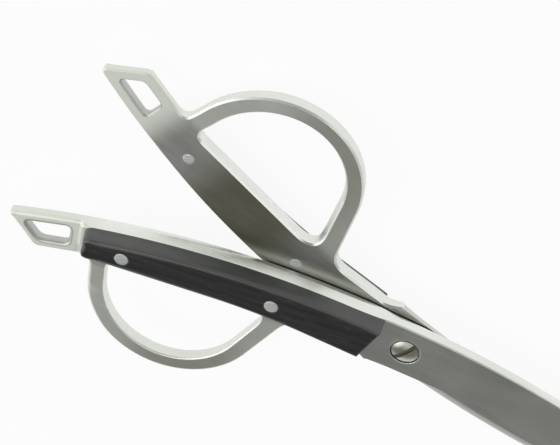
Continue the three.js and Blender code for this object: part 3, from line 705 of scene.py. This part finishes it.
def scale_shape(grip_ledge):
    """A wooden scale with leaning sides, a softer top edge towards the tail and an upright front."""
    cut_at = np.array([-SCALE_FRONT, 0.0])
    cut_along = np.array([sin(SCALE_FRONT_SLANT), cos(SCALE_FRONT_SLANT)])
    cut_back = np.array([-cos(SCALE_FRONT_SLANT), sin(SCALE_FRONT_SLANT)])
    grip_end = on_handle(SCALE_REAR, -grip_ledge)
    tang_line = np.array([-SCALE_FRONT, grip_ledge - TANG_EDGE])
    bend = crossing(grip_end, on_handle(0, -grip_ledge), tang_line, tang_line + [1, 0])
    stations = np.linspace(0, SCALE_REAR - SCALE_CORNER - 1, SPINE_POINTS)
    loop = rounded(
        plain([on_spine(s, SCALE_LEDGE) for s in stations])
        + [(on_spine(SCALE_REAR, SCALE_LEDGE), SCALE_CORNER), (grip_end, SCALE_CORNER), (bend, SCALE_BEND),
           (np.array([0.0, grip_ledge - TANG_EDGE]), 0)])
    loop = resampled(loop, lambda p: np.where(station_of(p) > SCALE_REAR - SCALE_END_NEAR,
                                              SCALE_END_SPACING, SCALE_SPACING))
    normal = outward(loop)
    deepest = SCALE_REAR_DRAFT + SCALE_ROUND_REAR + TOP_MARGIN
    room = fitted_round(loop, np.full(len(loop), deepest)) / deepest
    behind = (loop - cut_at) @ cut_back
    side = np.arange(len(loop))[behind > FRONT_CLEAR]
    first = np.where(np.diff(side) > 1)[0]
    side = np.roll(side, -(first[0] + 1)) if len(first) else side
    spine_side = side if loop[side[0], 1] > loop[side[-1], 1] else side[::-1]
    points, shift = loop[spine_side], -normal[spine_side] * room[spine_side, None]

    def corner(near, lean):
        """The place where a side meets the front cut, and how it slides as the side leans in."""
        along = np.array([-lean[1], lean[0]])
        place = crossing(near, near + along, cut_at, cut_at + cut_along)
        return place, cut_along / (cut_along @ lean)

    top_corner, top_slide = corner(points[0], shift[0])
    grip_corner, grip_slide = corner(points[-1], shift[-1])
    shares = np.linspace(0, 1, FRONT_POINTS)[:, None]
    front_points = grip_corner + (top_corner - grip_corner) * shares
    front_shift = grip_slide + (top_slide - grip_slide) * shares
    outline = np.vstack([points, front_points])
    slide = np.vstack([shift, front_shift])
    ease_in = np.r_[np.zeros(len(points)), np.ones(len(front_points))][:, None] * cut_back
    station = station_of(outline)
    soften = blend(SCALE_ROUND_FRONT, SCALE_ROUND_REAR, zone(station, *SCALE_ROUND_RUN))
    draft = blend(SCALE_DRAFT, SCALE_REAR_DRAFT, zone(station, SCALE_REAR - SCALE_DRAFT_SPAN, SCALE_REAR))
    height = SCALE_TOP - PLATE
    wall = np.sqrt(draft ** 2 + (height - SCALE_LIP) ** 2)
    rings = []

    def ring(depth, rise, back=0.0):
        depth = np.broadcast_to(depth, len(outline))[:, None]
        rise = np.broadcast_to(rise, len(outline))
        plan = outline + slide * depth + ease_in * back
        rings.append((plan, PLATE + rise if np.any(rise > SCALE_FOOT_RISE) else steel_face(plan) + rise))

    ring(RIM, 0)
    ring(SCALE_FOOT, 0)
    ring(0, SCALE_FOOT_RISE)
    ring(0, SCALE_LIP - LIP_DROP)
    ring(LIP_INSET, SCALE_LIP + LIP_INSET)
    for share in SCALE_WALL_SHARES:
        ring(draft * share, blend(SCALE_LIP, height, share))
    for t in np.linspace(0, 1, ROUND_POINTS):
        down = soften * (1 - t) ** 2
        ring(draft * (1 - down / wall) + soften * t ** 2,
             height - (height - SCALE_LIP) * down / wall, FRONT_EASE * t ** 2)
    ring(draft + soften + TOP_MARGIN, height, FRONT_EASE_END)
    contours = [rings]
    for station in RIVET_STATIONS.values():
        bore = RIVET_HEAD_RADIUS + HAIRLINE
        low = SCALE_TOP - RIVET_HEAD_DEPTH
        contours.append(round_contour(on_handle(station, -RIVET_INSET), [
            (bore - HEAD_STEP, PLATE), (bore - HEAD_STEP, low), (bore, low), (bore, SCALE_TOP - BORE_EDGE),
            (bore + BORE_EDGE, SCALE_TOP), (bore + BORE_RIM, SCALE_TOP)]))
    shape = Shape()
    loops = [contour[-1][0] for contour in contours]
    shape.slab(contours, lambda p: np.full(len(p), SCALE_TOP), grid(loops, *SCALE_GRID))
    return shape


def rivet_shape(station):
    """A plain shank with a wider head, ground flush with the wood."""
    shape = Shape()
    head, shank, low = RIVET_HEAD_RADIUS, RIVET_RADIUS, SCALE_TOP - RIVET_HEAD_DEPTH
    foot = [(shank * share, rise) for share, rise in reversed(PIN_FOOT_DOME)]
    foot += [(shank - inset, rise) for inset, rise in reversed(PIN_FOOT_ROUND)]
    edge = [(head - inset, SCALE_TOP - drop) for inset, drop in PIN_HEAD_ROUND]
    shape.lathe(on_handle(station, -RIVET_INSET), [
        *foot, (shank, low), (head, low), *edge, (head * PIN_HEAD_MIDDLE, SCALE_TOP), (0, SCALE_TOP)])
    return shape


def screw_shape():
    """A domed, slotted head on a plain shank. Heights are from the middle plane between the halves."""
    shape = Shape()
    low = HEAD_LOW + BLADE_GAP / 2
    rim = low + HEAD_EDGE
    floor = rim - SLOT_FLOOR
    end = -BLADE_GAP / 2 - PIVOT_THICKNESS
    foot = [(SCREW_RADIUS - inset, end + rise) for inset, rise in reversed(SCREW_END_ROUND)]
    # The turned head's side, its shank and the slot's floor take the dark second material, painted shade.
    shape.lathe((0, 0), [
        (0, end), *foot, (SCREW_RADIUS, low), (HEAD_RADIUS - CHAMFER, low), (HEAD_RADIUS, low + CHAMFER),
        (HEAD_RADIUS, floor - SLOT_EDGE), (HEAD_RADIUS - SLOT_EDGE, floor), (HEAD_RADIUS - CHAMFER, floor),
        (0, floor)], SCREW_SIDES, 1)
    ball = (HEAD_RADIUS ** 2 + HEAD_DOME ** 2) / (2 * HEAD_DOME)
    turn = np.array([[cos(SLOT_ANGLE), -sin(SLOT_ANGLE)], [sin(SLOT_ANGLE), cos(SLOT_ANGLE)]])

    def dome(points):
        return rim + HEAD_DOME - ball + np.sqrt(ball ** 2 - np.sum(np.asarray(points) ** 2, 1))

    start = asin(SLOT_WIDTH / 2 / HEAD_RADIUS)
    for half in (0, pi):
        arc = [(HEAD_RADIUS * cos(a), HEAD_RADIUS * sin(a))
               for a in np.linspace(start, pi - start, HEAD_POINTS)]
        spin = np.array([[cos(half), -sin(half)], [sin(half), cos(half)]])
        outline = resampled(np.array(arc) @ spin.T @ turn.T, lambda p: np.full(len(p), HEAD_SPACING))
        normal = outward(outline)
        rings = [(outline - normal * depth, np.full(len(outline), floor)) for depth in (SLOT_MARGIN, 0)]
        for depth, drop in SLOT_ROUND:
            plan = outline - normal * depth
            rings.append((plan, dome(plan) - drop))
        # The slot's walls take the dark second material, painted shade; the dome takes the screw's steel.
        shape.slab([rings], dome, grid([rings[-1][0]], *SCREW_GRID))
    return shape


def nut_shape():
    """A ring nut with two spanner holes."""
    low = PIVOT_THICKNESS - NUT_THICKNESS
    edge = [(NUT_RADIUS - inset, face_z - drop) for inset, drop in NUT_ROUND]
    contours = [round_contour((0, 0), [(NUT_RADIUS - RIM, low), (NUT_RADIUS, low), *edge],
                              PIVOT_SIDES, hole=False)]
    bores = [((0, 0), SCREW_RADIUS + CHAMFER)]
    bores += [((place, 0), NUT_HOLE_RADIUS) for place in (NUT_HOLE_RING, -NUT_HOLE_RING)]
    for centre, radius in bores:
        contours.append(round_contour(centre, [
            (radius + NUT_RIM, low), (radius, low), (radius, face_z - CHAMFER), (radius + CHAMFER, face_z),
            (radius + 2 * CHAMFER, face_z)], BORE_SIDES))
    shape = Shape()
    inner_top = grid([contour[-1][0] for contour in contours], *NUT_GRID)
    shape.slab(contours, lambda p: np.full(len(p), face_z), inner_top, wall=0)
    return shape


def put(shape, name, place, materials, body, node):
    """Builds a piece that rides on a body in the place of a node."""
    piece = shape.build(name, place, materials)
    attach(piece, body)
    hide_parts(node)


halves = (("front", front_place, front_profile, 1), ("rear", rear_place, rear_profile, -1))
for side, place, profile, turn in halves:
    body = f"{side}_half"
    along = turn * REST_EDGE_ANGLE
    grain = along + turn * HANDLE_BEND
    # Satin faces carry the painted dark reflection along the bar and the tumbled zones; the polished walls'
    # lighter tone is partly painted reflection.
    finishes = [steel(f"{side}_satin", *SATIN, along, turn, True),
                steel(f"{side}_polished", *POLISH_AND_PAINTED_REFLECTION, along, turn), pierced]
    put(steel_shape(profile, HOLE_LEAN[side]), f"{side}_steel_half", place, finishes,
        body, f"{side}_blade")
    # Tops take the black ebony; the sides and bores take a lighter copy of it, painted sheen.
    finishes = [ebony(f"{side}_ebony", grain, *OILED), ebony(f"{side}_ebony_painted_sheen_side", grain, *EBONY_SIDE_SHEEN)]
    put(scale_shape(GRIP_LEDGE[side]), f"{side}_ebony_scale", place, finishes,
        body, f"{side}_handle_scale")
    for end, station in RIVET_STATIONS.items():
        put(rivet_shape(station), f"{side}_{end}_pin", place, [steel_pin],
            body, f"{side}_{end}_rivet")
put(screw_shape(), "slotted_screw", Matrix.Translation(pivot), [steel_screw, painted_slot_shade],
    "rear_half", "pivot_screw")
put(nut_shape(), "ring_nut", rear_place, [steel_nut], "rear_half", "pivot_nut")
for node, material in (("spring_washer", steel_pin), ("bearing_washer", bronze)):
    frame["nodes"][node].data.materials.clear()
    frame["nodes"][node].data.materials.append(material)


# Floor, light and camera
TABLE_REACH, TABLE_DROP = 4.0, 0.0002
CAMERA_WHITE, MIRROR_WHITE = 0.92, 0.8
SKY = [(0.2, 1.0), (0.45, 0.28), (0.65, 0.2), (0.88, 0.22), (0.98, 0.9)]
IMAGE_WIDTH, FOCAL_PIXELS = 560, 2300
EYE_PLACE, EYE_TURN = (-0.14394, 0.44494, 0.47515), (-41.528, 14.074, 28.643)
LAMP_AIM = Vector((0, 0, 0.01))


def floor_material():
    """White paper that the camera and the metal see as white, with a faint shadow left on it."""
    material = bpy.data.materials.new("white_paper")
    material.use_nodes = True
    nodes, links = material.node_tree.nodes, material.node_tree.links
    nodes.clear()
    paper = nodes.new("ShaderNodeBsdfDiffuse")
    fibre = noise(nodes, links, **FIBRE)
    links.new(ramp(nodes, links, fibre, [(0.3, 0.86), (0.7, 0.9)]), paper.inputs["Color"])
    white = nodes.new("ShaderNodeEmission")
    path = nodes.new("ShaderNodeLightPath")
    mirrored = combined(nodes, links, "MAXIMUM", path.outputs["Is Glossy Ray"],
                        path.outputs["Is Transmission Ray"])
    share = combined(nodes, links, "ADD",
                     combined(nodes, links, "MULTIPLY", path.outputs["Is Camera Ray"], CAMERA_WHITE),
                     combined(nodes, links, "MULTIPLY", mirrored, MIRROR_WHITE))
    mix = nodes.new("ShaderNodeMixShader")
    links.new(share, mix.inputs["Fac"])
    links.new(paper.outputs[0], mix.inputs[1])
    links.new(white.outputs[0], mix.inputs[2])
    out = nodes.new("ShaderNodeOutputMaterial")
    links.new(mix.outputs[0], out.inputs["Surface"])
    return material


def studio():
    """A white sweep round the table under a gray ceiling."""
    world = bpy.data.worlds.new("studio")
    world.use_nodes = True
    nodes, links = world.node_tree.nodes, world.node_tree.links
    direction = nodes.new("ShaderNodeTexCoord")
    split = nodes.new("ShaderNodeSeparateXYZ")
    links.new(direction.outputs["Generated"], split.inputs[0])
    links.new(ramp(nodes, links, split.outputs["Z"], SKY), nodes["Background"].inputs["Color"])
    bpy.context.scene.world = world


def lamp(name, place, size, power):
    """A round soft lamp that shines on the part."""
    data = bpy.data.lights.new(name, "AREA")
    data.shape = "DISK"
    data.size = size
    data.energy = power
    item = bpy.data.objects.new(name, data)
    item.location = place
    item.rotation_euler = (LAMP_AIM - item.location).to_track_quat("-Z", "Y").to_euler()
    bpy.context.scene.collection.objects.link(item)


paper = bpy.data.meshes.new("table")
corners = [(-1, -1), (1, -1), (1, 1), (-1, 1)]
paper.from_pydata([(x * TABLE_REACH, y * TABLE_REACH, -TABLE_DROP) for x, y in corners], [], [(0, 1, 2, 3)])
paper.materials.append(floor_material())
table = bpy.data.objects.new("table", paper)
bpy.context.scene.collection.objects.link(table)

studio()
lamp("key_lamp", (-1.1, -0.4, 1.2), 2.0, 16)
lamp("fill_lamp", (0.85, 1.05, 0.97), 0.9, 2)

camera = bpy.data.cameras.new("camera")
camera.sensor_width = 36
camera.lens = FOCAL_PIXELS * camera.sensor_width / IMAGE_WIDTH
eye = bpy.data.objects.new("camera", camera)
eye.location = EYE_PLACE
eye.rotation_euler = [radians(angle) for angle in EYE_TURN]
bpy.context.scene.collection.objects.link(eye)
bpy.context.scene.camera = eye
bpy.context.scene.view_settings.view_transform = "Standard"

bpy.context.view_layer.update()
